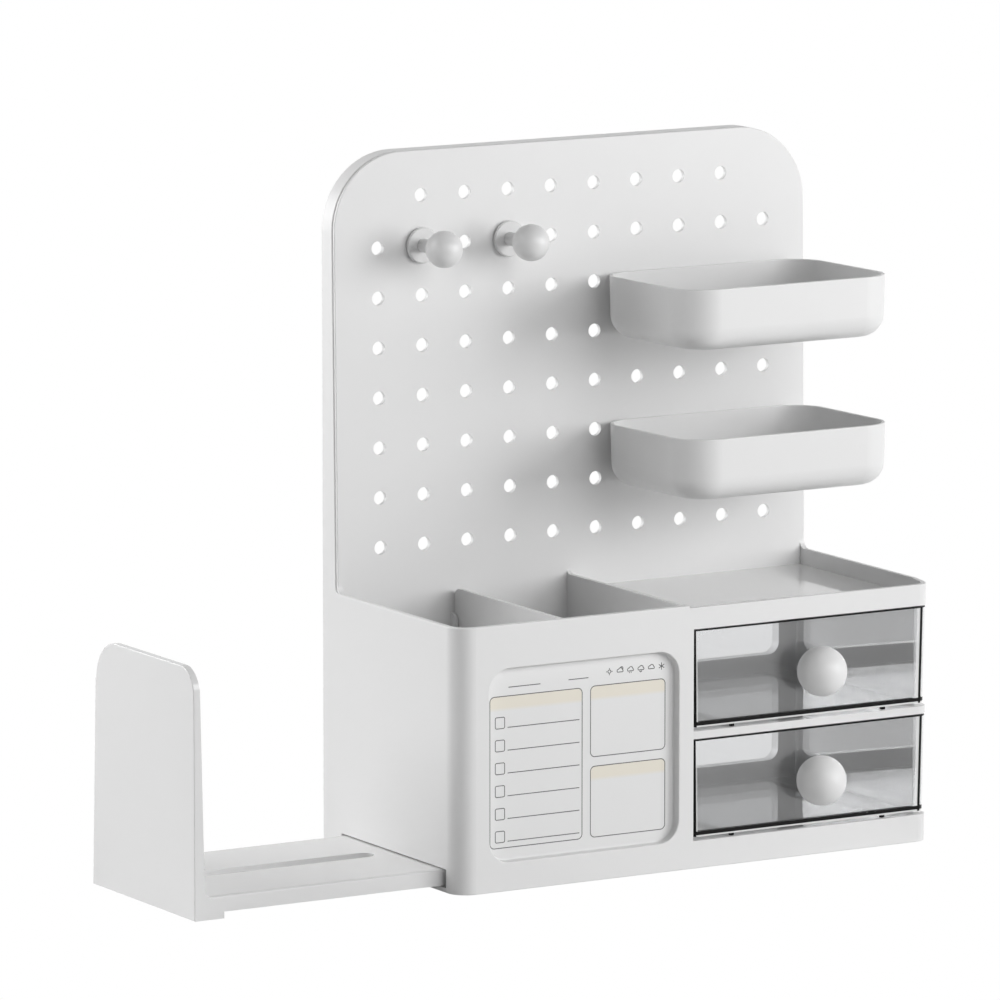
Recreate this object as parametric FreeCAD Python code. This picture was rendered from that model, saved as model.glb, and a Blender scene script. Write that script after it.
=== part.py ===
import FreeCAD, Part
import math
import os

Vector = FreeCAD.Vector

# All lengths are millimetres and all angles degrees. The origin is the middle of the body's
# base at its underside. +X is the user's right, +Y goes from the user to the rear, +Z is up.

# Body
body_width = 274.2
body_height = 132.5
front_reach = 118.0             # front face to the face of the peg board
rim_depth = 15.8                # face of the peg board to the rear edge, at the body's top
wall = 2.4
front_left_radius = 10.5
front_right_radius = 6.5
edge_radius = 0.6               # rounding along the outer edges of the moulding
rear_sill_height = 20.0
rim_foot_radius = 3.0           # where the rim rises from the side walls
front_step = 1.2                # front wall beside the deck, below the rest of the rim
front_step_run = 12.0           # length of the slope back up along the right wall

# Base cover and the floor above the book end's channel
cover_thickness = 2.0
cover_gap = 0.2
floor_underside = 12.4
floor_thickness = 1.6
front_ledge_depth = 5.5
rear_ledge_depth = 8.5

# Peg board
overall_height = 351.0
board_corner_radius = 38.0
board_lean = 0.9
board_thickness = 2.5
board_edge_thickness = 1.2      # left in front of the open joint round the rim
board_joint_depth = 1.6
board_foot_radius = 4.0         # where the board meets the tops of the side walls
board_edge_radius = 0.5
board_side_gap = 0.2
board_stop = 2.0                # strips on the side walls behind the board
hole_radius = 3.5
hole_pitch = 25.0
first_hole_row = 21.1           # above the body's top
hole_edge_margin = 22.0

# Screws that hold the board
board_boss_height = 4.0
board_boss_radius = 3.5
board_tab_thickness = 2.5
board_tab_reach = 11.0
board_tab_height = 12.0
low_tab_count = 2
high_tab_count = 3
board_tab_end_gap = 26.0        # outermost tabs to the ends of their stretch

# Every screw's thread runs in its own pilot hole
screw_radius = 1.25
pilot_gap = 0.05
screw_hole_gap = 0.25
screw_head_radius = 2.75
screw_head_height = 1.8
screw_grip = 4.0                # thread in the boss
base_screw_head_height = 1.2
base_screw_grip = 7.0
base_screw_count = 3            # along each ledge
base_screw_end_gap = 40.0

# Drawer bay
bay_width = 134.4
bay_liner = 2.5                 # glossy liner on the bay's right wall
header_height = 11.9            # strip of the front above the drawers
shelf_lip_height = 3.8
shelf_thickness = 2.0
partition_thickness = 2.4
partition_drop = 1.3            # partition's top below the rim
partition_flare = 2.5           # its top's upward sweep at the board
deck_drop = 8.3                 # deck's top below the rim
deck_thickness = 2.4

# Windows in the board behind the drawers
window_side_margin = 10.35
window_end_margin = 9.6
window_radius = 6.0
window_flange_depth = 3.5
window_flange_wall = 1.6

# Drawers
drawer_side_gap = 0.4
drawer_floor_gap = 1.9
drawer_top_gap = 0.6
drawer_rear_gap = 2.4
drawer_draft = 0.6              # narrowing of each side towards the bottom
wrap_depth = 6.2                # drawer front's return round the body's right corner
wrap_radius = 6.0
wrap_inset = 0.5                # its side to the body's side
wrap_draft = 1.1
wrap_rear_gap = 0.8             # to the front edge of the right wall
drawer_side = 2.0
drawer_front = 2.2
drawer_bottom = 2.2
drawer_corner_radius = 1.5
runner_spacing = 89.0
runner_width = 1.8
runner_gap = 0.15
runner_offset = 1.5             # runners and knob sit right of the drawer's middle

# Knobs
knob_radius = 12.5
knob_standoff = 8.5             # ball's centre in front of the drawer
knob_height = 23.3              # above the drawer's underside
knob_offset = 2.5
knob_screw_radius = 1.5
knob_screw_head_radius = 3.0
knob_screw_head_height = 2.0
knob_screw_grip = 8.0
knob_screw_tip_gap = 1.0

# Pen compartments
divider_thickness = 2.0
divider_drop = 2.6              # divider's top below the rim
divider_rear_gap = 0.6
divider_front_gap = 0.4
divider_floor_gap = 0.3
divider_corner_radius = 5.0
rib_gap = 0.3
rib_thickness = 1.6
rib_reach = 5.2
rib_drop = 15.0                 # ribs' tops below the rim
rib_corner_radius = 5.0
lug_length = 5.9
lug_reach = 2.0
lug_height = 2.2
lug_offset = 5.9                # lug's right end to the partition

# Memo recess in the left front
memo_left_margin = 18.1
memo_right_margin = 6.0         # to the partition
memo_foot_margin = 0.4          # recess's lower edge above the floor
memo_top_margin = 21.7          # to the rim
memo_depth = 5.0
memo_radius = 11.5
memo_cove = 1.0
memo_backing = 2.0
memo_lip_radius = 0.5
memo_card_thickness = 0.4
memo_card_margin = 1.2

# Book end
bookend_reach = 138.0           # outer face to the body's left side
bookend_front_setback = 14.4
upright_depth = 104.8
upright_height = 123.5
upright_foot_thickness = 5.9
upright_top_thickness = 3.3
upright_rear_lean = 2.2
upright_rear_radius = 20.0
upright_front_radius = 13.0
upright_fillet = 3.0
upright_edge_radius = 0.5
foot_length = 16.2
foot_height = 3.3
plate_depth = 97.7
plate_height = 8.0
plate_sheet = 2.8
plate_skirt = 2.8
plate_edge_radius = 1.2
plate_engagement = 60.0         # length held inside the body at full extension
groove_width = 11.0
groove_depth = 3.2
groove_middle = 50.3            # from the plate's front
groove_end_gap = 10.9           # groove's end to the body's side
groove_backing = 1.8
slot_side_gap = 3.1
slot_top_gap = 0.5
slot_foot_gap = 0.8
rail_width = 2.0
rail_gap = 0.15
stop_bar_length = 6.0
stop_bar_overhang = 6.5
stop_bar_wall = 2.0
stop_gap = 0.3
stop_block_length = 4.0
stop_block_bite = 2.0           # how far each block reaches past the bar's ends

# Trays
tray_width = 124.0
tray_depth = 89.5
tray_height = 31.4
tray_radius = 19.0
tray_foot_radius = 11.5
tray_draft = 0.63
tray_wall = 1.8
tray_rim_radius = 0.5
tray_board_gap = 0.4
tray_rim_rise = 3.8             # rim above its pegs' row
tray_step_count = 3             # hole rows from one tray to the other

# Pegs that carry the trays and hooks
peg_gap = 0.25
peg_reach = 3.0                 # beyond the board's rear face
peg_root = 1.0
peg_chamfer = 0.8

# Hooks
hook_flange_radius = 9.0
hook_flange_thickness = 2.2
hook_flange_step = 0.5
hook_shadow_step = 0.8          # smaller seat between flange and board
hook_dish = 0.5
hook_board_gap = 0.3
hook_stem_radius = 3.4
hook_ball_radius = 9.25
hook_ball_standoff = 22.5
hook_spigot_radius = 2.6
hook_spigot_length = 9.0
hook_spigot_gap = 0.05
hook_split = 1.2

# Worked out from the sizes above
half_width = body_width / 2
y_front = -(front_reach + rim_depth) / 2
y_rear = -y_front
y_board = y_front + front_reach
y_rim = y_board + board_thickness
inner_half = half_width - wall
inner_front = y_front + wall
inner_rear = y_rear - wall
floor_top = floor_underside + floor_thickness
bay_right = inner_half - bay_liner
bay_left = bay_right - bay_width
bay_middle = (bay_left + bay_right) / 2
partition_left = bay_left - partition_thickness
wall_front = y_front + wrap_depth + wrap_rear_gap
bay_top = body_height - header_height
bay_opening_height = (bay_top - floor_top - shelf_lip_height) / 2
shelf_low = floor_top + bay_opening_height
shelf_top = shelf_low + shelf_lip_height
deck_top = body_height - deck_drop
deck_low = deck_top - deck_thickness
divider_middle = (partition_left - inner_half) / 2
memo_left = memo_left_margin - half_width
memo_right = partition_left - memo_right_margin
memo_low = floor_top + memo_foot_margin
memo_top = body_height - memo_top_margin
memo_floor = y_front + memo_depth
memo_back = memo_floor + memo_backing
plate_low = foot_height
plate_top = plate_low + plate_height
plate_front = y_front + bookend_front_setback
plate_rear = plate_front + plate_depth
upright_outer = -half_width - bookend_reach
upright_inner = upright_outer + upright_foot_thickness
plate_end = plate_engagement - half_width
stop_bar_front = plate_front - stop_bar_overhang
stop_bar_rear = plate_rear + stop_bar_overhang
peg_radius = hole_radius - peg_gap
front_radii = (front_left_radius, front_right_radius, 0, 0)
cavity_radii = (front_left_radius - wall, front_right_radius - wall, 0, 0)

past = 1.0                      # how far a cutter runs beyond what it cuts
near = 1e-4


# Shapes

def box(x0, x1, y0, y1, z0, z1):
    return Part.makeBox(x1 - x0, y1 - y0, z1 - z0, Vector(x0, y0, z0))


def rod(radius, start, end):
    return Part.makeCylinder(radius, (end - start).Length, start, end - start)


def polygon_prism(points, direction):
    return Part.Face(Part.makePolygon(points + points[:1])).extrude(direction)


def rounded_wire(low, high, radii, place):
    corners = (
        (low[0], low[1], 1, 1, 180),
        (high[0], low[1], -1, 1, 270),
        (high[0], high[1], -1, -1, 0),
        (low[0], high[1], 1, -1, 90),
    )
    arcs = []
    for (u, v, u_in, v_in, start), radius in zip(corners, radii):
        turn = [math.radians(start + step) for step in (0, 45, 90)]
        middle_u = u + u_in * radius
        middle_v = v + v_in * radius
        arcs.append([place(middle_u + radius * math.cos(a), middle_v + radius * math.sin(a)) for a in turn])
    edges = []
    for points, radius, following in zip(arcs, radii, arcs[1:] + arcs[:1]):
        if radius > 0:
            edges.append(Part.Arc(*points).toShape())
        if points[2].distanceToPoint(following[0]) > near:
            edges.append(Part.LineSegment(points[2], following[0]).toShape())
    return Part.Wire(edges)


def plan_wire(x0, x1, y0, y1, z, radii):
    return rounded_wire((x0, y0), (x1, y1), radii, lambda x, y: Vector(x, y, z))


def plan_prism(x0, x1, y0, y1, z0, z1, radii):
    return Part.Face(plan_wire(x0, x1, y0, y1, z0, radii)).extrude(Vector(0, 0, z1 - z0))


def front_prism(x0, x1, y0, y1, z0, z1, radii):
    wire = rounded_wire((x0, z0), (x1, z1), radii, lambda x, z: Vector(x, y0, z))
    return Part.Face(wire).extrude(Vector(0, y1 - y0, 0))


def side_prism(x0, x1, y0, y1, z0, z1, radii):
    wire = rounded_wire((y0, z0), (y1, z1), radii, lambda y, z: Vector(x0, y, z))
    return Part.Face(wire).extrude(Vector(x1 - x0, 0, 0))


def edge_points(edge):
    low, high = edge.ParameterRange
    return [edge.valueAt(low + share * (high - low)) for share in (0, 0.5, 1)]


def edges_where(shape, test):
    return [edge for edge in shape.Edges if all(test(point) for point in edge_points(edge))]


def rounded(shape, radius, test):
    return shape.makeFillet(radius, edges_where(shape, test))


def fused(first, *others):
    return first.fuse(list(others)).removeSplitter()


def evenly(low, high, count):
    if count == 1:
        return [(low + high) / 2]
    return [low + step * (high - low) / (count - 1) for step in range(count)]


# The board leans back from the body's top, and so does all that plugs into it

def lean_shift(z):
    return max(0.0, z - body_height) * math.tan(math.radians(board_lean))


def on_board(shape):
    shape.rotate(Vector(0, y_board, body_height), Vector(1, 0, 0), -board_lean)
    return shape


def leaning_slab(x0, x1, front, rear, z0, z1):
    profile = [(front, z0), (front + lean_shift(z1), z1), (rear + lean_shift(z1), z1), (rear, z0)]
    points = [Vector(x0, y, z) for y, z in profile]
    return polygon_prism(points, Vector(x1 - x0, 0, 0))


def hole_columns():
    count = int((body_width - 2 * hole_edge_margin) / hole_pitch) + 1
    reach = hole_pitch * (count - 1) / 2
    return evenly(-reach, reach, count)


def hole_rows():
    low = body_height + first_hole_row
    count = int((overall_height - hole_edge_margin - low) / hole_pitch) + 1
    return [low + hole_pitch * step for step in range(count)]


# Housing

def body_block():
    return plan_prism(-half_width, half_width, y_front, y_rear, 0, body_height, front_radii)


def foot_arc(x, face, radius):
    lean = math.radians(board_lean)
    middle_y = face - radius * (1 - math.sin(lean)) / math.cos(lean)
    middle_z = body_height + radius
    turn = [math.radians(-90), math.radians(-90 - board_lean) / 2, -lean]
    return [Vector(x, middle_y + radius * math.cos(a), middle_z + radius * math.sin(a)) for a in turn]


def rim_block():
    arc = foot_arc(-half_width, y_rim, rim_foot_radius)
    crest = Vector(-half_width, y_rim + lean_shift(overall_height), overall_height)
    rear_crest = Vector(-half_width, y_rear, overall_height)
    rear_foot = Vector(-half_width, y_rear, body_height)
    edges = [Part.Arc(*arc).toShape()]
    corners = [arc[2], crest, rear_crest, rear_foot, arc[0]]
    for start, end in zip(corners, corners[1:]):
        edges.append(Part.LineSegment(start, end).toShape())
    side = Part.Face(Part.Wire(edges)).extrude(Vector(body_width, 0, 0))
    radii = (0, 0, board_corner_radius, board_corner_radius)
    outline = front_prism(-half_width, half_width, y_front, y_rear + past,
                          body_height - wall, overall_height, radii)
    return side.common(outline)


def outer_block():
    rim_foot = foot_arc(0, y_rim, rim_foot_radius)
    radius = rim_foot_radius

    def on_outline(p):
        if abs(p.z) < near or abs(p.y - y_rear) < near:
            return True
        if p.y < rim_foot[0].y - near:
            return abs(p.z - body_height) < near
        if p.z > rim_foot[2].z - near:
            return abs(p.y - y_rim - lean_shift(p.z)) < near
        return abs(math.hypot(p.y - rim_foot[0].y, p.z - body_height - radius) - radius) < near

    solid = fused(body_block(), rim_block())
    across = lambda edge: all(abs(p.y - rim_foot[0].y) < near or abs(p.z - rim_foot[2].z) < near
                              for p in edge_points(edge))
    edges = [edge for edge in edges_where(solid, on_outline) if not across(edge)]
    return solid.makeFillet(edge_radius, edges)


def deck_front_cut():
    low = body_height - front_step
    rise = inner_front + front_step_run
    profile = [(y_front - past, low), (inner_front, low), (rise, body_height),
               (rise, body_height + past), (y_front - past, body_height + past)]
    points = [Vector(partition_left, y, z) for y, z in profile]
    return polygon_prism(points, Vector(half_width + past - partition_left, 0, 0))


def cavity():
    return plan_prism(-inner_half, inner_half, inner_front, inner_rear, -past, body_height + past,
                      cavity_radii)


def rim_opening():
    radius = board_corner_radius - wall
    return front_prism(-inner_half, inner_half, y_board - rim_foot_radius - past, y_rear + past,
                       rear_sill_height, overall_height - wall, (0, 0, radius, radius))


def memo_pocket():
    block = front_prism(memo_left, memo_right, y_front - past, memo_floor, memo_low, memo_top,
                        [memo_radius] * 4)
    return rounded(block, memo_cove, lambda p: abs(p.y - memo_floor) < near)


def memo_pocket_wall():
    grown = [memo_radius + memo_backing] * 4
    block = front_prism(memo_left - memo_backing, memo_right + memo_backing, inner_front, memo_back,
                        memo_low - memo_backing, memo_top + memo_backing, grown)
    return block.cut(box(-half_width, half_width, y_front, y_rear, 0, floor_top))


def divider_ribs(face, direction):
    ribs = []
    for side in (-1, 1):
        middle = divider_middle + side * (divider_thickness / 2 + rib_gap + rib_thickness / 2)
        tip = face + direction * rib_reach
        radii = (0, 0, rib_corner_radius, 0) if direction > 0 else (0, 0, 0, rib_corner_radius)
        ribs.append(side_prism(middle - rib_thickness / 2, middle + rib_thickness / 2,
                               min(face, tip), max(face, tip), floor_top, body_height - rib_drop, radii))
    return ribs


def partition_lug():
    right = partition_left - lug_offset
    top = body_height - partition_drop
    return box(right - lug_length, right, inner_front, inner_front + lug_reach, top - lug_height, top)


def foot_ledges():
    front = box(-inner_half + front_left_radius, inner_half - front_right_radius,
                inner_front, inner_front + front_ledge_depth, cover_thickness, floor_underside)
    rear = box(-inner_half, inner_half, inner_rear - rear_ledge_depth, inner_rear,
               cover_thickness, floor_underside)
    return [front, rear]


def stop_blocks():
    right = plate_end - stop_bar_length - stop_gap
    left = right - stop_block_length
    front = box(left, right, inner_front, stop_bar_front + stop_block_bite,
                cover_thickness, floor_underside)
    rear = box(left, right, stop_bar_rear - stop_block_bite, inner_rear,
               cover_thickness, floor_underside)
    return [front, rear]


def board_stops():
    strips = []
    for side in (-1, 1):
        outer = side * inner_half
        inner = side * (inner_half - board_stop)
        strips.append(box(min(outer, inner), max(outer, inner), y_rim, y_rim + board_stop,
                          floor_top, body_height))
    return strips


def board_fixings():
    across = inner_half - board_tab_reach / 2
    low = evenly(floor_top + board_tab_end_gap, body_height - board_tab_end_gap, low_tab_count)
    high = evenly(body_height + board_tab_end_gap,
                  overall_height - board_corner_radius - board_tab_end_gap, high_tab_count)
    points = [(side * across, z) for side in (-1, 1) for z in low + high]
    return points + [(0.0, overall_height - wall - board_tab_reach / 2)]


def board_back(z):
    return y_rim + lean_shift(z)


def board_tab(x, z):
    front = board_back(z) + board_boss_height
    rear = front + board_tab_thickness
    if x == 0:
        half = board_tab_height / 2
        return box(-half, half, front, rear, overall_height - wall - board_tab_reach,
                   overall_height - wall / 2)
    inner = inner_half - board_tab_reach
    outer = half_width - wall / 2
    side = math.copysign(1, x)
    return box(min(side * inner, side * outer), max(side * inner, side * outer), front, rear,
               z - board_tab_height / 2, z + board_tab_height / 2)


def board_tab_hole(x, z):
    front = board_back(z) + board_boss_height
    return rod(screw_radius + screw_hole_gap, Vector(x, front - past, z),
               Vector(x, front + board_tab_thickness + past, z))


def base_screw_places():
    front = inner_front + front_ledge_depth / 2
    rear = inner_rear - rear_ledge_depth / 2
    across = evenly(-inner_half + base_screw_end_gap, inner_half - base_screw_end_gap, base_screw_count)
    return [(x, y) for y in (front, rear) for x in across]


def bookend_slot():
    return box(-half_width - past, -inner_half + past, plate_front - slot_side_gap,
               plate_rear + slot_side_gap, plate_low - slot_foot_gap, plate_top + slot_top_gap)


def housing_shell():
    shell = outer_block().cut([cavity(), rim_opening(), deck_front_cut()])
    shell = fused(shell, memo_pocket_wall(), partition_lug(), *divider_ribs(memo_back, 1),
                  *foot_ledges(), *stop_blocks(), *board_stops(),
                  *[board_tab(x, z) for x, z in board_fixings()])
    bay_front = box(bay_left, half_width + past, y_front - past, wall_front, floor_top, bay_top)
    pilots = [rod(screw_radius + pilot_gap, Vector(x, y, cover_thickness - past),
                  Vector(x, y, cover_thickness + base_screw_grip + past))
              for x, y in base_screw_places()]
    tab_holes = [board_tab_hole(x, z) for x, z in board_fixings()]
    shell = shell.cut([memo_pocket(), bay_front, bookend_slot()] + pilots + tab_holes)
    on_lip = lambda p: abs(p.y - y_front) < near and memo_low - near < p.z < memo_top + near \
        and memo_left - near < p.x < memo_right + near
    return rounded(shell, memo_lip_radius, on_lip)


def inner_floor():
    return plan_prism(-inner_half, inner_half, inner_front, inner_rear, floor_underside, floor_top,
                      cavity_radii)


def base_cover():
    radii = [max(0.0, radius - cover_gap) for radius in cavity_radii]
    cover = plan_prism(-inner_half + cover_gap, inner_half - cover_gap, inner_front + cover_gap,
                       inner_rear - cover_gap, 0, cover_thickness, radii)
    rails = []
    for y in (plate_front + plate_skirt / 2, plate_rear - plate_skirt / 2):
        rails.append(box(-inner_half + cover_gap, inner_half - cover_gap, y - rail_width / 2,
                         y + rail_width / 2, cover_thickness, plate_low - rail_gap))
    cover = fused(cover, *rails)
    cuts = []
    for x, y in base_screw_places():
        cuts.append(rod(screw_radius + screw_hole_gap, Vector(x, y, -past),
                        Vector(x, y, cover_thickness + past)))
        cuts.append(rod(screw_head_radius + screw_hole_gap, Vector(x, y, -past),
                        Vector(x, y, base_screw_head_height)))
    return cover.cut(cuts)


def base_screws():
    screws = []
    for x, y in base_screw_places():
        head = rod(screw_head_radius, Vector(x, y, 0), Vector(x, y, base_screw_head_height))
        shank = rod(screw_radius, Vector(x, y, base_screw_head_height),
                    Vector(x, y, cover_thickness + base_screw_grip))
        screws.append(fused(head, shank))
    return Part.makeCompound(screws)


# Peg board

def board_outline(inset):
    radius = board_corner_radius - inset
    return front_prism(-half_width + inset, half_width - inset, y_front, y_rear, body_height - past,
                       overall_height - inset, (0, 0, radius, radius))


def board_foot(x0, x1):
    front = foot_arc(x0, y_board, board_foot_radius)
    edge = y_board + board_edge_thickness
    top = Vector(x0, edge + lean_shift(front[2].z), front[2].z)
    rear = foot_arc(x0, edge, rim_foot_radius)[::-1]
    edges = [Part.Arc(*front).toShape()]
    for start, end in ((front[2], top), (top, rear[0])):
        edges.append(Part.LineSegment(start, end).toShape())
    edges.append(Part.Arc(*rear).toShape())
    edges.append(Part.LineSegment(rear[2], front[0]).toShape())
    return Part.Face(Part.Wire(edges)).extrude(Vector(x1 - x0, 0, 0))


def board_panel():
    lower = leaning_slab(-inner_half + board_side_gap, inner_half - board_side_gap, y_board,
                         y_rim, floor_top, body_height)
    slab = leaning_slab(-half_width, half_width, y_board, y_rim, body_height, overall_height)
    upper = slab.common(board_outline(0))
    upper = rounded(upper, board_edge_radius, lambda p: p.z > body_height + near
                    and abs(p.y - y_board - lean_shift(p.z)) < near)
    joint = leaning_slab(-half_width - past, half_width + past, y_board + board_edge_thickness,
                         y_rim + past, body_height - past, overall_height + past)
    upper = upper.cut(joint.cut(board_outline(board_joint_depth)))
    foot_top = foot_arc(0, y_board, board_foot_radius)[2].z
    shoulders = []
    feet = []
    for side in (-1, 1):
        ends = sorted((side * (inner_half - board_side_gap), side * half_width))
        shoulders.append(box(ends[0], ends[1], y_front, y_rear, body_height - past, foot_top))
        feet.append(board_foot(ends[0], ends[1]))
    return fused(lower, upper.cut(shoulders), *feet)


def window_frame(z0, z1, grow, front, rear):
    x0 = bay_left + window_side_margin - grow
    x1 = bay_right - window_side_margin + grow
    return front_prism(x0, x1, front, rear, z0 + window_end_margin - grow, z1 - window_end_margin + grow,
                       [window_radius + grow] * 4)


def bay_heights():
    return [(floor_top, shelf_low), (shelf_top, bay_top)]


def peg_holes():
    columns = hole_columns()
    rows = hole_rows()
    holes = []
    for z in rows:
        inner = columns[1:-1] if z == rows[-1] else columns
        for x in inner:
            holes.append(rod(hole_radius, Vector(x, y_board + lean_shift(z) - past, z),
                             Vector(x, board_back(z) + past, z)))
    return holes


def pegboard():
    panel = board_panel()
    flanges = [window_frame(z0, z1, window_flange_wall, y_rim - past, y_rim + window_flange_depth)
               for z0, z1 in bay_heights()]
    bosses = [rod(board_boss_radius, Vector(x, board_back(z) - past, z),
                  Vector(x, board_back(z) + board_boss_height, z)) for x, z in board_fixings()]
    panel = fused(panel, *flanges, *bosses, *divider_ribs(y_board, -1))
    windows = [window_frame(z0, z1, 0, y_board - past, y_rear) for z0, z1 in bay_heights()]
    pilots = [rod(screw_radius + pilot_gap,
                  Vector(x, board_back(z) + board_boss_height - screw_grip, z),
                  Vector(x, board_back(z) + board_boss_height + past, z)) for x, z in board_fixings()]
    return panel.cut(windows + pilots + peg_holes())


def pegboard_screws():
    screws = []
    for x, z in board_fixings():
        tip = board_back(z) + board_boss_height - screw_grip
        seat = board_back(z) + board_boss_height + board_tab_thickness
        shank = rod(screw_radius, Vector(x, tip, z), Vector(x, seat, z))
        head = rod(screw_head_radius, Vector(x, seat, z), Vector(x, seat + screw_head_height, z))
        screws.append(fused(shank, head))
    return Part.makeCompound(screws)


# Drawer bay

def bay_partition():
    top = body_height - partition_drop
    plate = box(partition_left, bay_left, inner_front, y_board, floor_top, top)
    sweep = box(partition_left, bay_left, y_board - partition_flare, y_board, top, top + partition_flare)
    hollow = rod(partition_flare, Vector(partition_left - past, y_board - partition_flare, top + partition_flare),
                 Vector(bay_left + past, y_board - partition_flare, top + partition_flare))
    return fused(plate, sweep.cut(hollow))


def bay_side_liner():
    return box(bay_right, inner_half, wall_front, y_board, floor_top, bay_top)


def drawer_shelf():
    plate = box(bay_left, bay_right, inner_front, y_board, shelf_top - shelf_thickness, shelf_top)
    lip = box(bay_left, half_width, y_front, wall_front, shelf_low, shelf_top)
    return fused(plate, lip).common(body_block())


def top_deck():
    deck = box(bay_left, inner_half, inner_front, y_board, deck_low, deck_top)
    return deck.common(cavity())


def memo_card():
    return front_prism(memo_left + memo_card_margin, memo_right - memo_card_margin,
                       memo_floor - memo_card_thickness, memo_floor,
                       memo_low + memo_card_margin, memo_top - memo_card_margin,
                       [memo_radius - memo_card_margin] * 4)


def pen_divider():
    front_high = inner_front + divider_front_gap
    front_low = memo_back + divider_front_gap
    rear = y_board - divider_rear_gap
    low = floor_top + divider_floor_gap
    top = body_height - divider_drop
    step = memo_top + memo_backing + divider_front_gap
    x0 = divider_middle - divider_thickness / 2
    x1 = divider_middle + divider_thickness / 2
    upper = side_prism(x0, x1, front_high, rear, step, top, (0, 0, divider_corner_radius, 0))
    lower = box(x0, x1, front_low, rear, low, step)
    return fused(upper, lower)


# Drawers

def drafted_block(x0, x1, y0, y1, z0, z1, radii, right_draft):
    low = plan_wire(x0 + drawer_draft, x1 - right_draft, y0, y1, z0, radii)
    high = plan_wire(x0, x1, y0, y1, z1, radii)
    return Part.makeLoft([low, high], True, True)


def drawer_wrap(x1, z0, z1):
    side = half_width - wrap_inset
    rear = y_front + wrap_depth
    outer = drafted_block(x1 - wrap_radius, side, y_front, rear, z0, z1, (0, wrap_radius, 0, 0), wrap_draft)
    hollow = box(x1 - drawer_draft, side - drawer_side - wrap_draft, y_front + drawer_front, rear + past,
                 z0 - past, z1 + past)
    return outer.cut(hollow)


def drawer_box(bay_floor):
    x0 = bay_left + drawer_side_gap
    x1 = bay_right - drawer_side_gap
    y1 = y_board - drawer_rear_gap
    z0 = bay_floor + drawer_floor_gap
    z1 = bay_floor + bay_opening_height - drawer_top_gap
    radius = drawer_corner_radius
    outer = drafted_block(x0, x1, y_front, y1, z0, z1, (radius, 0, radius, radius), drawer_draft)
    outer = fused(outer, drawer_wrap(x1, z0, z1))
    inner = drafted_block(x0 + drawer_side, x1 - drawer_side, y_front + drawer_front, y1 - drawer_side,
                          z0 + drawer_bottom, z1 + past, [radius] * 4, drawer_draft)
    runners = []
    for side in (-1, 1):
        x = bay_middle + runner_offset + side * runner_spacing / 2
        runners.append(box(x - runner_width / 2, x + runner_width / 2, y_front + drawer_front,
                           y1 - drawer_side, bay_floor + runner_gap, z0))
    middle = Vector(bay_middle + knob_offset, y_front, z0 + knob_height)
    hole = rod(knob_screw_radius + screw_hole_gap, middle - Vector(0, past, 0),
               middle + Vector(0, drawer_front + past, 0))
    return fused(outer.cut(inner), *runners).cut(hole)


def knob(bay_floor):
    face = Vector(bay_middle + knob_offset, y_front, bay_floor + drawer_floor_gap + knob_height)
    ball = Part.makeSphere(knob_radius, face - Vector(0, knob_standoff, 0))
    beyond = box(face.x - knob_radius, face.x + knob_radius, y_front, y_front + knob_radius,
                 face.z - knob_radius, face.z + knob_radius)
    bore = rod(knob_screw_radius + pilot_gap, face + Vector(0, past, 0),
               face - Vector(0, knob_screw_grip + knob_screw_tip_gap, 0))
    return ball.cut([beyond, bore])


def knob_screw(bay_floor):
    face = Vector(bay_middle + knob_offset, y_front, bay_floor + drawer_floor_gap + knob_height)
    seat = face + Vector(0, drawer_front, 0)
    shank = rod(knob_screw_radius, face - Vector(0, knob_screw_grip, 0), seat)
    head = rod(knob_screw_head_radius, seat, seat + Vector(0, knob_screw_head_height, 0))
    return fused(shank, head)


# Book end

def bookend_upright():
    rear = plate_front + upright_depth
    slope = upright_height * math.tan(math.radians(upright_rear_lean))
    rear_top = rear - slope
    crown_low = upright_height - upright_rear_radius
    sides = polygon_prism([Vector(upright_outer, y, z) for y, z in (
        (plate_front, 0), (rear, 0), (rear_top, upright_height), (plate_front, upright_height))],
        Vector(upright_foot_thickness, 0, 0))
    crown = box(upright_outer, upright_inner, plate_front, rear, crown_low, upright_height)
    arched = side_prism(upright_outer, upright_inner, plate_front, rear_top, 0, upright_height,
                        (0, 0, upright_rear_radius, upright_front_radius))
    slab = sides.cut(crown.cut(arched))
    taper = upright_foot_thickness - upright_top_thickness
    wedge = polygon_prism([Vector(upright_inner, y_front, 0),
                           Vector(upright_inner - taper, y_front, upright_height),
                           Vector(upright_inner, y_front, upright_height)], Vector(0, y_rear - y_front, 0))
    return slab.cut(wedge)


def bookend_plate():
    plate = box(upright_inner - upright_top_thickness, plate_end, plate_front, plate_rear,
                plate_low, plate_top)
    plate = rounded(plate, plate_edge_radius, lambda p: abs(p.z - plate_top) < near
                    and (abs(p.y - plate_front) < near or abs(p.y - plate_rear) < near))
    hollow = box(upright_outer + foot_length, plate_end + past, plate_front + plate_skirt,
                 plate_rear - plate_skirt, plate_low - past, plate_top - plate_sheet)
    stop_seat = box(plate_end - stop_bar_length, plate_end + past, y_front, y_rear,
                    plate_low - past, plate_low + stop_bar_wall)
    return plate.cut([hollow, stop_seat])


def groove_block(grow, low, high):
    middle = plate_front + groove_middle
    half = groove_width / 2 + grow
    end = -half_width - groove_end_gap + grow
    return plan_prism(upright_inner, end, middle - half, middle + half, low, high, (0, half, half, 0))


def root_fillet():
    edge_x = upright_inner
    low = plate_top
    block = box(edge_x - upright_fillet, edge_x + upright_fillet, plate_front, plate_rear,
                low - plate_edge_radius, low + upright_fillet)
    hollow = rod(upright_fillet, Vector(edge_x + upright_fillet, plate_front - past, low + upright_fillet),
                 Vector(edge_x + upright_fillet, plate_rear + past, low + upright_fillet))
    return block.cut(hollow)


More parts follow.
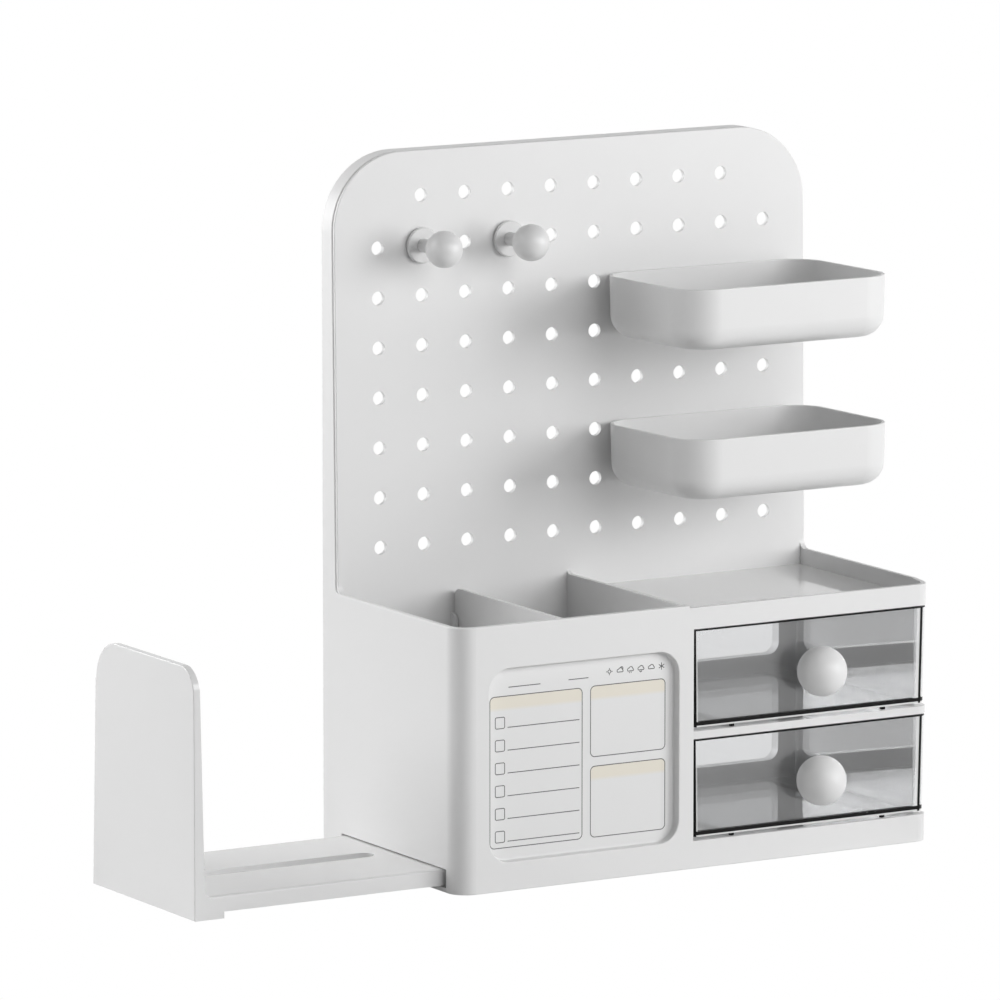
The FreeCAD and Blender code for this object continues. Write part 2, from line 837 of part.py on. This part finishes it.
def bookend():
    foot = box(upright_outer, upright_outer + foot_length, plate_front, plate_front + upright_depth,
               0, plate_low)
    trough = groove_block(groove_backing, plate_top - groove_depth - groove_backing, plate_top)
    solid = fused(bookend_upright(), bookend_plate(), foot, root_fillet(), trough)
    solid = solid.cut(groove_block(0, plate_top - groove_depth, plate_top + past))
    return rounded(solid, upright_edge_radius, lambda p: abs(p.x - upright_outer) < near and p.z > -near)


def bookend_stop():
    bar = box(plate_end - stop_bar_length, plate_end, stop_bar_front, stop_bar_rear,
              plate_low, plate_top - plate_sheet)
    skirt_seats = [box(plate_end - stop_bar_length - past, plate_end + past, y, y + plate_skirt,
                       plate_low + stop_bar_wall, plate_top)
                   for y in (plate_front, plate_rear - plate_skirt)]
    return bar.cut(skirt_seats)


# Trays

def tray_block(inset, low, high):
    half = tray_width / 2
    rear = y_board - tray_board_gap
    front = rear - tray_depth
    radius = tray_radius - inset
    share = (low - high) / tray_height
    draft = tray_draft * share
    wires = []
    for narrowing, z in ((-draft, low), (0.0, high)):
        shrink = inset + narrowing
        wires.append(plan_wire(-half + shrink, half - shrink, front + shrink, rear - inset, z, [radius] * 4))
    return Part.makeLoft(wires, True, True)


def tray(row):
    columns = hole_columns()
    middle = (columns[-3] + columns[-2]) / 2
    row_z = hole_rows()[row]
    rim = row_z + tray_rim_rise
    low = rim - tray_height
    outer = tray_block(0, low, rim)
    outer = rounded(outer, tray_foot_radius, lambda p: abs(p.z - low) < near)
    floor = low + tray_wall
    inner = tray_block(tray_wall, floor, rim + past)
    inner = rounded(inner, tray_foot_radius - tray_wall, lambda p: abs(p.z - floor) < near)
    dish = outer.cut(inner)
    dish = rounded(dish, tray_rim_radius, lambda p: abs(p.z - rim) < near)
    dish.translate(Vector(middle, 0, 0))
    rear = y_board - tray_board_gap
    pegs = [peg(x, rear - peg_root, row_z) for x in (columns[-3], columns[-2])]
    return on_board(fused(dish, *pegs))


def peg(x, start, z):
    tip = y_rim + peg_reach
    shank = rod(peg_radius, Vector(x, start, z), Vector(x, tip, z))
    return shank.makeChamfer(peg_chamfer, edges_where(shank, lambda p: abs(p.y - tip) < near))


# Hooks

def hook_base(column):
    x = hole_columns()[column]
    z = hole_rows()[-2]
    face = y_board - hook_board_gap
    front = face - hook_flange_thickness
    seat_radius = hook_flange_radius - hook_shadow_step
    stem_end = y_board - hook_ball_standoff + hook_ball_radius - hook_dish
    outline = [
        (0, face), (seat_radius, face), (seat_radius, face - hook_shadow_step),
        (hook_flange_radius, face - hook_shadow_step), (hook_flange_radius, front + hook_flange_step),
        (hook_flange_radius - hook_flange_step, front), (hook_stem_radius, front + hook_dish),
        (hook_stem_radius, stem_end), (hook_spigot_radius, stem_end),
        (hook_spigot_radius, stem_end - hook_spigot_length), (0, stem_end - hook_spigot_length),
    ]
    profile = Part.Face(Part.makePolygon([Vector(x + r, y, z) for r, y in outline + outline[:1]]))
    turned = profile.revolve(Vector(x, 0, z), Vector(0, 1, 0), 360)
    spigot = peg(x, face - hook_flange_thickness / 2, z)
    split = box(x - hook_split / 2, x + hook_split / 2, y_board + board_thickness / 2, y_rear,
                z - hook_flange_radius, z + hook_flange_radius)
    return on_board(fused(turned, spigot).cut(split))


def hook_ball(column):
    middle = Vector(hole_columns()[column], y_board - hook_ball_standoff, hole_rows()[-2])
    stem_end = y_board - hook_ball_standoff + hook_ball_radius - hook_dish
    ball = Part.makeSphere(hook_ball_radius, middle)
    flat = box(middle.x - hook_ball_radius, middle.x + hook_ball_radius, stem_end,
               stem_end + hook_ball_radius, middle.z - hook_ball_radius, middle.z + hook_ball_radius)
    bore = rod(hook_spigot_radius + hook_spigot_gap, Vector(middle.x, stem_end + past, middle.z),
               Vector(middle.x, stem_end - hook_spigot_length - hook_spigot_gap, middle.z))
    return on_board(ball.cut([flat, bore]))


# Every node

def nodes():
    lower_floor = floor_top
    upper_floor = shelf_top
    upper_row = -3
    parts = {
        "housing_shell": housing_shell(),
        "inner_floor": inner_floor(),
        "base_cover": base_cover(),
        "base_screws": base_screws(),
        "pegboard": pegboard(),
        "pegboard_screws": pegboard_screws(),
        "bay_partition": bay_partition(),
        "bay_side_liner": bay_side_liner(),
        "drawer_shelf": drawer_shelf(),
        "top_deck": top_deck(),
        "memo_card": memo_card(),
        "pen_divider": pen_divider(),
        "bookend": bookend(),
        "bookend_stop": bookend_stop(),
        "tray_upper": tray(upper_row),
        "tray_lower": tray(upper_row - tray_step_count),
    }
    for name, bay_floor in (("upper", upper_floor), ("lower", lower_floor)):
        parts["drawer_" + name] = drawer_box(bay_floor)
        parts["knob_" + name] = knob(bay_floor)
        parts["knob_screw_" + name] = knob_screw(bay_floor)
    for name, column in (("left", 1), ("right", 3)):
        parts["hook_base_" + name] = hook_base(column)
        parts["hook_ball_" + name] = hook_ball(column)
    return parts


os.makedirs("parts", exist_ok=True)
for name, shape in nodes().items():
    shape.exportStep("parts/" + name + ".step")
    print(name, len(shape.Solids), "valid" if shape.isValid() else "NOT VALID", round(shape.Volume, 1))
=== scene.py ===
import math

import bpy
from mathutils import Euler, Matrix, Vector

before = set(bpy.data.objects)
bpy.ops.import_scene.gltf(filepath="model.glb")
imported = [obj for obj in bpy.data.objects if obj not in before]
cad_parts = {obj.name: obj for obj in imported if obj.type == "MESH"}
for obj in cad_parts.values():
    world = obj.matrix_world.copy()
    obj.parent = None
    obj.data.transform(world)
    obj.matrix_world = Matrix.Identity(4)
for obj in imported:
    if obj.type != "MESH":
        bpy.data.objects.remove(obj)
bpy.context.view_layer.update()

print("frame loaded:", len(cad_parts), "nodes")


# ---- shader helpers

class Value:
    # a socket that can be used in sums
    def __init__(self, surface, socket):
        self.surface = surface
        self.socket = socket

    def sum(self, operation, first, second):
        return self.surface.node("ShaderNodeMath", {"operation": operation}, {0: first, 1: second})

    def __add__(self, other): return self.sum("ADD", self, other)
    def __radd__(self, other): return self.sum("ADD", other, self)
    def __sub__(self, other): return self.sum("SUBTRACT", self, other)
    def __rsub__(self, other): return self.sum("SUBTRACT", other, self)
    def __mul__(self, other): return self.sum("MULTIPLY", self, other)
    def __rmul__(self, other): return self.sum("MULTIPLY", other, self)
    def __truediv__(self, other): return self.sum("DIVIDE", self, other)
    def __rtruediv__(self, other): return self.sum("DIVIDE", other, self)
    def __mod__(self, other): return self.sum("FLOORED_MODULO", self, other)
    def __rmod__(self, other): return self.sum("FLOORED_MODULO", other, self)
    def __pow__(self, other): return self.sum("POWER", self, other)
    def __rpow__(self, other): return self.sum("POWER", other, self)
    def __lt__(self, other): return self.sum("LESS_THAN", self, other)
    def __gt__(self, other): return self.sum("GREATER_THAN", self, other)
    def __or__(self, other): return self.sum("MAXIMUM", self, other)
    def __ror__(self, other): return self.sum("MAXIMUM", other, self)
    def __and__(self, other): return self.sum("MINIMUM", self, other)
    def __rand__(self, other): return self.sum("MINIMUM", other, self)
    def __abs__(self): return self.sum("ABSOLUTE", self, 0.0)


class Surface:
    # one material, with its Principled shader as self.shader
    def __init__(self, name):
        self.material = bpy.data.materials.new(name)
        self.material.use_nodes = True
        self.tree = self.material.node_tree
        self.shader = self.tree.nodes["Principled BSDF"]

    def feed(self, socket, value):
        if isinstance(value, Value):
            self.tree.links.new(value.socket, socket)
        else:
            socket.default_value = value

    def node(self, kind, settings=None, inputs=None, output=0):
        made = self.tree.nodes.new(kind)
        for key, setting in (settings or {}).items():
            setattr(made, key, setting)
        for key, value in (inputs or {}).items():
            self.feed(made.inputs[key], value)
        return Value(self, made.outputs[output])

    def where(self):
        return self.node("ShaderNodeTexCoord", output="Object")

    def millimetres(self):
        # the place on the piece, in the same millimetres as the CAD
        place = self.where()
        return [self.node("ShaderNodeSeparateXYZ", None, {0: place}, axis) * 1000.0 for axis in range(3)]

    def blend(self, share, first, second):
        # first and second are shader outputs
        mixed = self.node("ShaderNodeMixShader", None, {0: share, 1: first, 2: second})
        self.tree.links.new(mixed.socket, self.tree.nodes["Material Output"].inputs["Surface"])
        return mixed

    def noise(self, scale, detail=2.0):
        return self.node("ShaderNodeTexNoise", None,
                         {"Vector": self.where(), "Scale": scale, "Detail": detail})

    def mix(self, share, first, second):
        return self.node("ShaderNodeMix", {"data_type": "RGBA"}, {0: share, 6: first, 7: second}, 2)

    def bump(self, height, strength, distance):
        normal = self.node("ShaderNodeBump", None,
                           {"Height": height, "Strength": strength, "Distance": distance})
        self.feed(self.shader.inputs["Normal"], normal)


def grey(level, alpha=1.0):
    return (level, level, level, alpha)


# ---- finishes

def mouldedPlastic(name, look):
    surface = Surface(name)
    cloud = surface.noise(look["cloudScale"])
    grain = surface.noise(look["grainScale"], 3.0)
    level = look["white"]
    tint = look["tint"]
    pale = (level * tint[0], level * tint[1], level * tint[2], 1.0)
    deep = tuple(part * look["cloudDepth"] for part in pale[:3]) + (1.0,)
    surface.feed(surface.shader.inputs["Base Color"], surface.mix(cloud, deep, pale))
    surface.feed(surface.shader.inputs["Roughness"],
                 look["roughness"] + (grain - 0.5) * look["roughnessSpread"])
    surface.shader.inputs["IOR"].default_value = look["ior"]
    surface.bump(grain, look["bump"], look["bumpDepth"])
    return surface.material


satinLook = {
    "white": 0.80, "tint": (1.0, 1.0, 1.0), "cloudScale": 9.0, "cloudDepth": 0.985,
    "grainScale": 1400.0, "roughness": 0.36, "roughnessSpread": 0.08, "ior": 1.46,
    "bump": 0.12, "bumpDepth": 0.00006,
}
smoothLook = dict(satinLook, roughness=0.05, roughnessSpread=0.02, ior=1.6, bump=0.02)
glossLook = dict(satinLook, roughness=0.05, roughnessSpread=0.02, bump=0.02)
matteLook = dict(satinLook, roughness=0.42, bump=0.15)


# clear plastic: walls that pass and mirror, with painted shade along the front panel's edges and under the
# runners, and painted highlights (glints) beside that shade
clearLook = {
    "tint": (0.925, 0.927, 0.930, 1.0), "roughness": 0.012,
    "mirror": 0.06, "mostMirror": 0.9, "grazing": 2.0, "grazingPower": 3.0, "floorDulling": 0.9,
    "front": -66.9, "panel": 2.3, "left": -1.8, "leftDraft": 0.6, "rightDraft": 1.1, "height": 48.9,
    # where the painted shade bands and painted highlight glints lie, in millimetres, and their tones
    "leftShade": 0.9, "leftGlint": 1.5, "topShade": 0.6, "footGlint": 0.8, "footShade": 2.7, "runnerEnd": -62.5,
    "cornerGlint": 129.4, "cornerShade": 131.1, "cornerEnd": 132.8,
    "shadeTone": 0.008, "shadeAndGlintRoughness": 0.3, "shadeAndGlintGloss": 0.1,
    "glintTone": 0.86, "glintShare": 0.75, "cloudScale": 30.0, "cloudDepth": 0.97,
}
# underside of each drawer's floor, in millimetres
upperFoot = 71.1
lowerFoot = 15.9


def clearPlastic(name, look, foot):
    surface = Surface(name)
    x, y, z = surface.millimetres()
    up = z - foot
    drop = 1.0 - up / look["height"]
    fromLeft = x - look["left"] - drop * look["leftDraft"]
    corner = x + drop * look["rightDraft"]
    panel = y < look["front"] + look["panel"]
    # painted shade: dark bands along the front panel's left, top, foot and right edges, standing in for the
    # dark look the refracting edges would have
    paintedShade = (fromLeft < look["leftShade"]) | (look["height"] - up < look["topShade"])
    paintedShade = paintedShade | ((up > look["footGlint"]) & (up < look["footShade"]))
    paintedShade = paintedShade | ((corner > look["cornerShade"]) & (corner < look["cornerEnd"]))
    # painted highlight: light glints beside the painted shade on the left edge, the foot and the right
    # corner
    paintedGlint = (fromLeft < look["leftGlint"]) | (up < look["footGlint"])
    paintedGlint = paintedGlint | ((corner > look["cornerGlint"]) & (corner < look["cornerShade"]))
    # painted shade also on the runners under the floor, toward the front
    paintedShade = paintedShade & panel | (up < 0.0) & (y < look["runnerEnd"])
    paintedGlint = paintedGlint & panel & (1.0 - paintedShade)

    shader = surface.shader
    cloud = surface.noise(look["cloudScale"])
    bright = surface.mix(cloud, grey(look["glintTone"] * look["cloudDepth"]), grey(look["glintTone"]))
    # base colour: the glint tone is a painted highlight, the shade tone a painted shade
    surface.feed(shader.inputs["Base Color"], surface.mix(paintedShade, bright, grey(look["shadeTone"])))
    shader.inputs["Roughness"].default_value = look["shadeAndGlintRoughness"]
    shader.inputs["Specular IOR Level"].default_value = look["shadeAndGlintGloss"]
    facing = surface.node("ShaderNodeLayerWeight", None, {"Blend": 0.5}, 1)
    normal = surface.node("ShaderNodeTexCoord", output="Normal")
    level = abs(surface.node("ShaderNodeSeparateXYZ", None, {0: normal}, 2))
    grazing = facing ** look["grazingPower"] * look["grazing"] * (1.0 - level * look["floorDulling"])
    clear = surface.node("ShaderNodeBsdfTransparent", None, {"Color": look["tint"]})
    mirror = surface.node("ShaderNodeBsdfGlossy", None, {"Color": grey(1.0), "Roughness": look["roughness"]})
    wall = surface.blend((look["mirror"] + grazing) & look["mostMirror"], clear, mirror)
    solid = Value(surface, shader.outputs[0])
    # where the painted shade or painted highlight lies, the solid shader shows in place of the clear wall
    surface.blend(paintedShade | paintedGlint * look["glintShare"], wall, solid)
    return surface.material


zincLook = {
    "wearScale": 600.0, "worn": 0.42, "bright": 0.58,
    "roughness": 0.28, "roughnessSpread": 0.15, "bump": 0.1, "bumpDepth": 0.00005,
}


def zincSteel(name, look):
    surface = Surface(name)
    wear = surface.noise(look["wearScale"])
    shader = surface.shader
    surface.feed(shader.inputs["Base Color"], surface.mix(wear, grey(look["worn"]), grey(look["bright"])))
    surface.feed(shader.inputs["Roughness"], look["roughness"] + wear * look["roughnessSpread"])
    shader.inputs["Metallic"].default_value = 1.0
    surface.bump(wear, look["bump"], look["bumpDepth"])
    return surface.material


# the card's blank form: three framed boxes, check boxes with rules, and six weather signs
memoLook = {
    "paper": grey(0.80), "band": (0.79, 0.75, 0.66, 1.0), "ink": grey(0.04), "inkCover": 0.95,
    "roughness": 0.35, "speckScale": 2500.0, "speckDepth": 0.96,
    "lineHalf": 0.22, "cornerRadius": 2.5, "bandHeight": 7.5, "bandFade": 2.0,
    "boxes": [(-116.2, -63.7, 20.8, 96.2), (-58.9, -16.0, 61.2, 96.5), (-58.9, -16.0, 20.9, 56.4)],
    "tickMiddle": -110.5, "tickTop": 83.1, "tickPitch": 11.34, "tickCount": 6,
    "tickWidth": 5.3, "tickHeight": 5.6, "tickRadius": 0.8,
    "ruleDrop": 2.5, "ruleStart": -106.2, "ruleEnd": -65.2,
    "headRules": [(-105.7, -87.5, 100.5), (-71.5, -60.1, 101.0)],
    "signHeight": 102.9, "signStart": -48.1, "signPitch": 6.0,
}


def roundedDistance(x, z, halfWidth, halfHeight, radius):
    # below 0 inside a rounded box round (0, 0)
    across = abs(x) - (halfWidth - radius)
    along = abs(z) - (halfHeight - radius)
    outside = ((across | 0.0) ** 2.0 + (along | 0.0) ** 2.0) ** 0.5
    return outside + ((across | along) & 0.0) - radius


def circleDistance(x, z, middle, height, radius):
    return ((x - middle) ** 2.0 + (z - height) ** 2.0) ** 0.5 - radius


# the weather signs, in millimetres from the middle of each
signLook = {
    "reach": 1.8, "sunRadius": 0.8, "rayStart": 1.15,
    "puffLeft": (-0.75, -0.1, 0.85), "puffTop": (0.35, 0.25, 1.1), "puffRight": (1.2, -0.25, 0.65),
    "cloudFoot": -0.75, "sunBehind": (1.0, 1.0, 0.8),
    "drops": [(-0.5, -1.8, -1.1), (0.5, -1.8, -1.1)], "lateDrop": (0.0, -2.0, -1.3),
    "armAcross": 0.5, "armUp": 0.866,
}


def cloudDistance(x, z, look):
    puffs = circleDistance(x, z, *look["puffLeft"]) & circleDistance(x, z, *look["puffTop"])
    return (puffs & circleDistance(x, z, *look["puffRight"])) | (look["cloudFoot"] - z)


def weatherSigns(x, z, half, look):
    stroke = lambda distance: abs(distance) < half
    bar = lambda offset, low, high: (abs(x - offset) < half) & (z > low) & (z < high)
    near = circleDistance(x, z, 0.0, 0.0, look["reach"]) < 0.0
    sun = stroke(circleDistance(x, z, 0.0, 0.0, look["sunRadius"]))
    clearOfSun = circleDistance(x, z, 0.0, 0.0, look["rayStart"]) > 0.0
    rays = ((abs(x) < half) | (abs(z) < half)) & near & clearOfSun
    cloud = stroke(cloudDistance(x, z, look))
    behind = stroke(circleDistance(x, z, *look["sunBehind"])) & (cloudDistance(x, z, look) > 0.0)
    first, second = look["drops"]
    rain = bar(*first) | bar(*second)
    drizzle = rain | bar(*look["lateDrop"])
    across = x * look["armAcross"]
    up = z * look["armUp"]
    star = (abs(x) < half) | (abs(across + up) < half) | (abs(across - up) < half)
    return [sun | rays, cloud | behind, cloud | rain, cloud | drizzle, cloud, star & near]


def memoPrint(name, look):
    surface = Surface(name)
    x, _, z = surface.millimetres()
    half = look["lineHalf"]
    ink = None
    band = None

    def add(first, second):
        return second if first is None else first | second

    for left, right, low, high in look["boxes"]:
        distance = roundedDistance(x - (left + right) / 2, z - (low + high) / 2,
                                   (right - left) / 2, (high - low) / 2, look["cornerRadius"])
        ink = add(ink, abs(distance) < half)
        fade = ((z - (high - look["bandHeight"])) / look["bandFade"] | 0.0) & 1.0
        band = add(band, (distance < 0.0) * fade)

    # one row worked out, and repeated down the list
    pitch = look["tickPitch"]
    foot = look["tickTop"] - (look["tickCount"] - 0.5) * pitch
    row = (z - foot) % pitch - pitch / 2
    listed = (z > foot) & (z < look["tickTop"] + pitch / 2)
    tick = abs(roundedDistance(x - look["tickMiddle"], row, look["tickWidth"] / 2,
                               look["tickHeight"] / 2, look["tickRadius"])) < half
    rule = (abs(row + look["ruleDrop"]) < half) & (x > look["ruleStart"]) & (x < look["ruleEnd"])
    ink = ink | (tick | rule) & listed
    for start, end, height in look["headRules"]:
        ink = ink | (abs(z - height) < half) & (x > start) & (x < end)

    pitch = look["signPitch"]
    start = look["signStart"] - pitch / 2
    signs = weatherSigns((x - start) % pitch - pitch / 2, z - look["signHeight"], half, signLook)
    for place, sign in enumerate(signs):
        here = (x > start + place * pitch) & (x < start + (place + 1) * pitch)
        ink = ink | sign & here

    speck = surface.noise(look["speckScale"])
    deep = tuple(part * look["speckDepth"] for part in look["paper"][:3]) + (1.0,)
    paper = surface.mix(speck, deep, look["paper"])
    sheet = surface.mix(ink * look["inkCover"], surface.mix(band, paper, look["band"]), look["ink"])
    surface.feed(surface.shader.inputs["Base Color"], sheet)
    surface.shader.inputs["Roughness"].default_value = look["roughness"]
    return surface.material


satinWhite = mouldedPlastic("satinWhite", satinLook)
boardWhite = mouldedPlastic("boardWhite", dict(satinLook, white=0.82))
smoothWhite = mouldedPlastic("smoothWhite", smoothLook)
glossWhite = mouldedPlastic("glossWhite", glossLook)
# a lighter copy of glossWhite for the liner inside the bay: the extra brightness is painted light
linerLitWhite = mouldedPlastic("linerLitWhite", dict(glossLook, white=0.90))
trayWhite = mouldedPlastic("trayWhite", dict(satinLook, roughness=0.30))
knobWhite = mouldedPlastic("knobWhite", matteLook)
clearUpper = clearPlastic("clearUpper", clearLook, upperFoot)
clearLower = clearPlastic("clearLower", clearLook, lowerFoot)
zinc = zincSteel("zinc", zincLook)
cardStock = memoPrint("cardStock", memoLook)

finishes = {
    "housing_shell": satinWhite, "inner_floor": glossWhite, "base_cover": satinWhite,
    "bay_partition": satinWhite, "bay_side_liner": linerLitWhite, "drawer_shelf": glossWhite,
    "top_deck": smoothWhite, "pegboard": boardWhite, "pen_divider": satinWhite,
    "pegboard_screws": zinc, "base_screws": zinc, "memo_card": cardStock,
    "bookend": smoothWhite, "bookend_stop": satinWhite, "tray_upper": trayWhite, "tray_lower": trayWhite,
    "drawer_upper": clearUpper, "drawer_lower": clearLower, "knob_upper": knobWhite,
    "knob_lower": knobWhite, "knob_screw_upper": zinc, "knob_screw_lower": zinc,
    "hook_base_left": trayWhite, "hook_base_right": trayWhite,
    "hook_ball_left": trayWhite, "hook_ball_right": trayWhite,
}
for nodeName, material in finishes.items():
    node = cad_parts[nodeName]
    node.data.materials.clear()
    node.data.materials.append(material)
print("finishes on", len(finishes), "nodes")


# ---- room, lamps and camera

room = {"floorSize": 6.0, "floorWhite": 0.80, "floorRoughness": 0.9, "skyDiffuse": 0.08, "backdrop": 1.0}


def whiteForSight(tree, kind):
    # what is looked at, mirrored or seen through clear plastic is plain white
    rays = tree.nodes.new("ShaderNodeLightPath")
    seen = rays.outputs["Is Camera Ray"]
    for ray in ("Is Glossy Ray", "Is Transmission Ray"):
        either = tree.nodes.new("ShaderNodeMath")
        either.operation = "MAXIMUM"
        tree.links.new(seen, either.inputs[0])
        tree.links.new(rays.outputs[ray], either.inputs[1])
        seen = either.outputs[0]
    white = tree.nodes.new(kind)
    white.inputs["Color"].default_value = grey(1.0)
    white.inputs["Strength"].default_value = room["backdrop"]
    return seen, white


def makeWorld():
    world = bpy.data.worlds.new("studio")
    world.use_nodes = True
    tree = world.node_tree
    tree.nodes.clear()
    seen, white = whiteForSight(tree, "ShaderNodeBackground")
    dim = tree.nodes.new("ShaderNodeBackground")
    dim.inputs["Color"].default_value = grey(1.0)
    dim.inputs["Strength"].default_value = room["skyDiffuse"]
    blend = tree.nodes.new("ShaderNodeMixShader")
    tree.links.new(seen, blend.inputs[0])
    tree.links.new(dim.outputs[0], blend.inputs[1])
    tree.links.new(white.outputs[0], blend.inputs[2])
    out = tree.nodes.new("ShaderNodeOutputWorld")
    tree.links.new(blend.outputs[0], out.inputs["Surface"])
    bpy.context.scene.world = world


def makeFloor():
    bpy.ops.mesh.primitive_plane_add(size=room["floorSize"], location=(0, 0, 0))
    floor = bpy.context.object
    floor.name = "floor"
    surface = Surface("floorPaper")
    shader = surface.shader
    shader.inputs["Base Color"].default_value = grey(room["floorWhite"])
    shader.inputs["Roughness"].default_value = room["floorRoughness"]
    shader.inputs["Specular IOR Level"].default_value = 0.0
    seen, white = whiteForSight(surface.tree, "ShaderNodeEmission")
    blend = surface.tree.nodes.new("ShaderNodeMixShader")
    surface.tree.links.new(seen, blend.inputs[0])
    surface.tree.links.new(shader.outputs[0], blend.inputs[1])
    surface.tree.links.new(white.outputs[0], blend.inputs[2])
    surface.tree.links.new(blend.outputs[0], surface.tree.nodes["Material Output"].inputs["Surface"])
    floor.data.materials.append(surface.material)


# four like discs, all aimed at one point above the body
disc = {"aim": (0.0, 0.0, 0.16), "reach": 2.2, "size": 1.3}
lamps = {
    "keyRight": {"azimuth": 45.0, "height": 12.0, "power": 26.0},
    "frontFill": {"azimuth": 10.0, "height": 24.0, "power": 15.2},
    "rearLeft": {"azimuth": -138.0, "height": 12.0, "power": 20.0},
    "leftSide": {"azimuth": -114.0, "height": 28.0, "power": 18.5},
}


def makeLamp(name, lamp):
    # azimuth 0 stands in front of the drawers, 90 to the right
    turn = math.radians(lamp["azimuth"])
    rise = math.radians(lamp["height"])
    aim = Vector(disc["aim"])
    away = Vector((math.sin(turn) * math.cos(rise), -math.cos(turn) * math.cos(rise), math.sin(rise)))
    data = bpy.data.lights.new(name, "AREA")
    data.shape = "DISK"
    data.size = disc["size"]
    data.energy = lamp["power"]
    made = bpy.data.objects.new(name, data)
    made.location = aim + away * disc["reach"]
    made.rotation_euler = away.to_track_quat("Z", "Y").to_euler()
    bpy.context.collection.objects.link(made)


shot = {
    "place": (-2.2432, -3.6883, 0.8795), "azimuth": 30.463, "tilt": 9.262,
    "focal": 315.64, "sensor": 36.0, "near": 0.1, "far": 50.0,
}


def makeCamera():
    data = bpy.data.cameras.new("shot")
    data.lens = shot["focal"]
    data.sensor_width = shot["sensor"]
    data.clip_start = shot["near"]
    data.clip_end = shot["far"]
    made = bpy.data.objects.new("shot", data)
    made.location = shot["place"]
    made.rotation_euler = Euler((math.radians(90.0 - shot["tilt"]), 0.0, math.radians(-shot["azimuth"])))
    bpy.context.collection.objects.link(made)
    bpy.context.scene.camera = made


makeWorld()
makeFloor()
for lampName, lamp in lamps.items():
    makeLamp(lampName, lamp)
makeCamera()
bpy.context.scene.view_settings.view_transform = "Standard"
print("room, lamps and camera set")
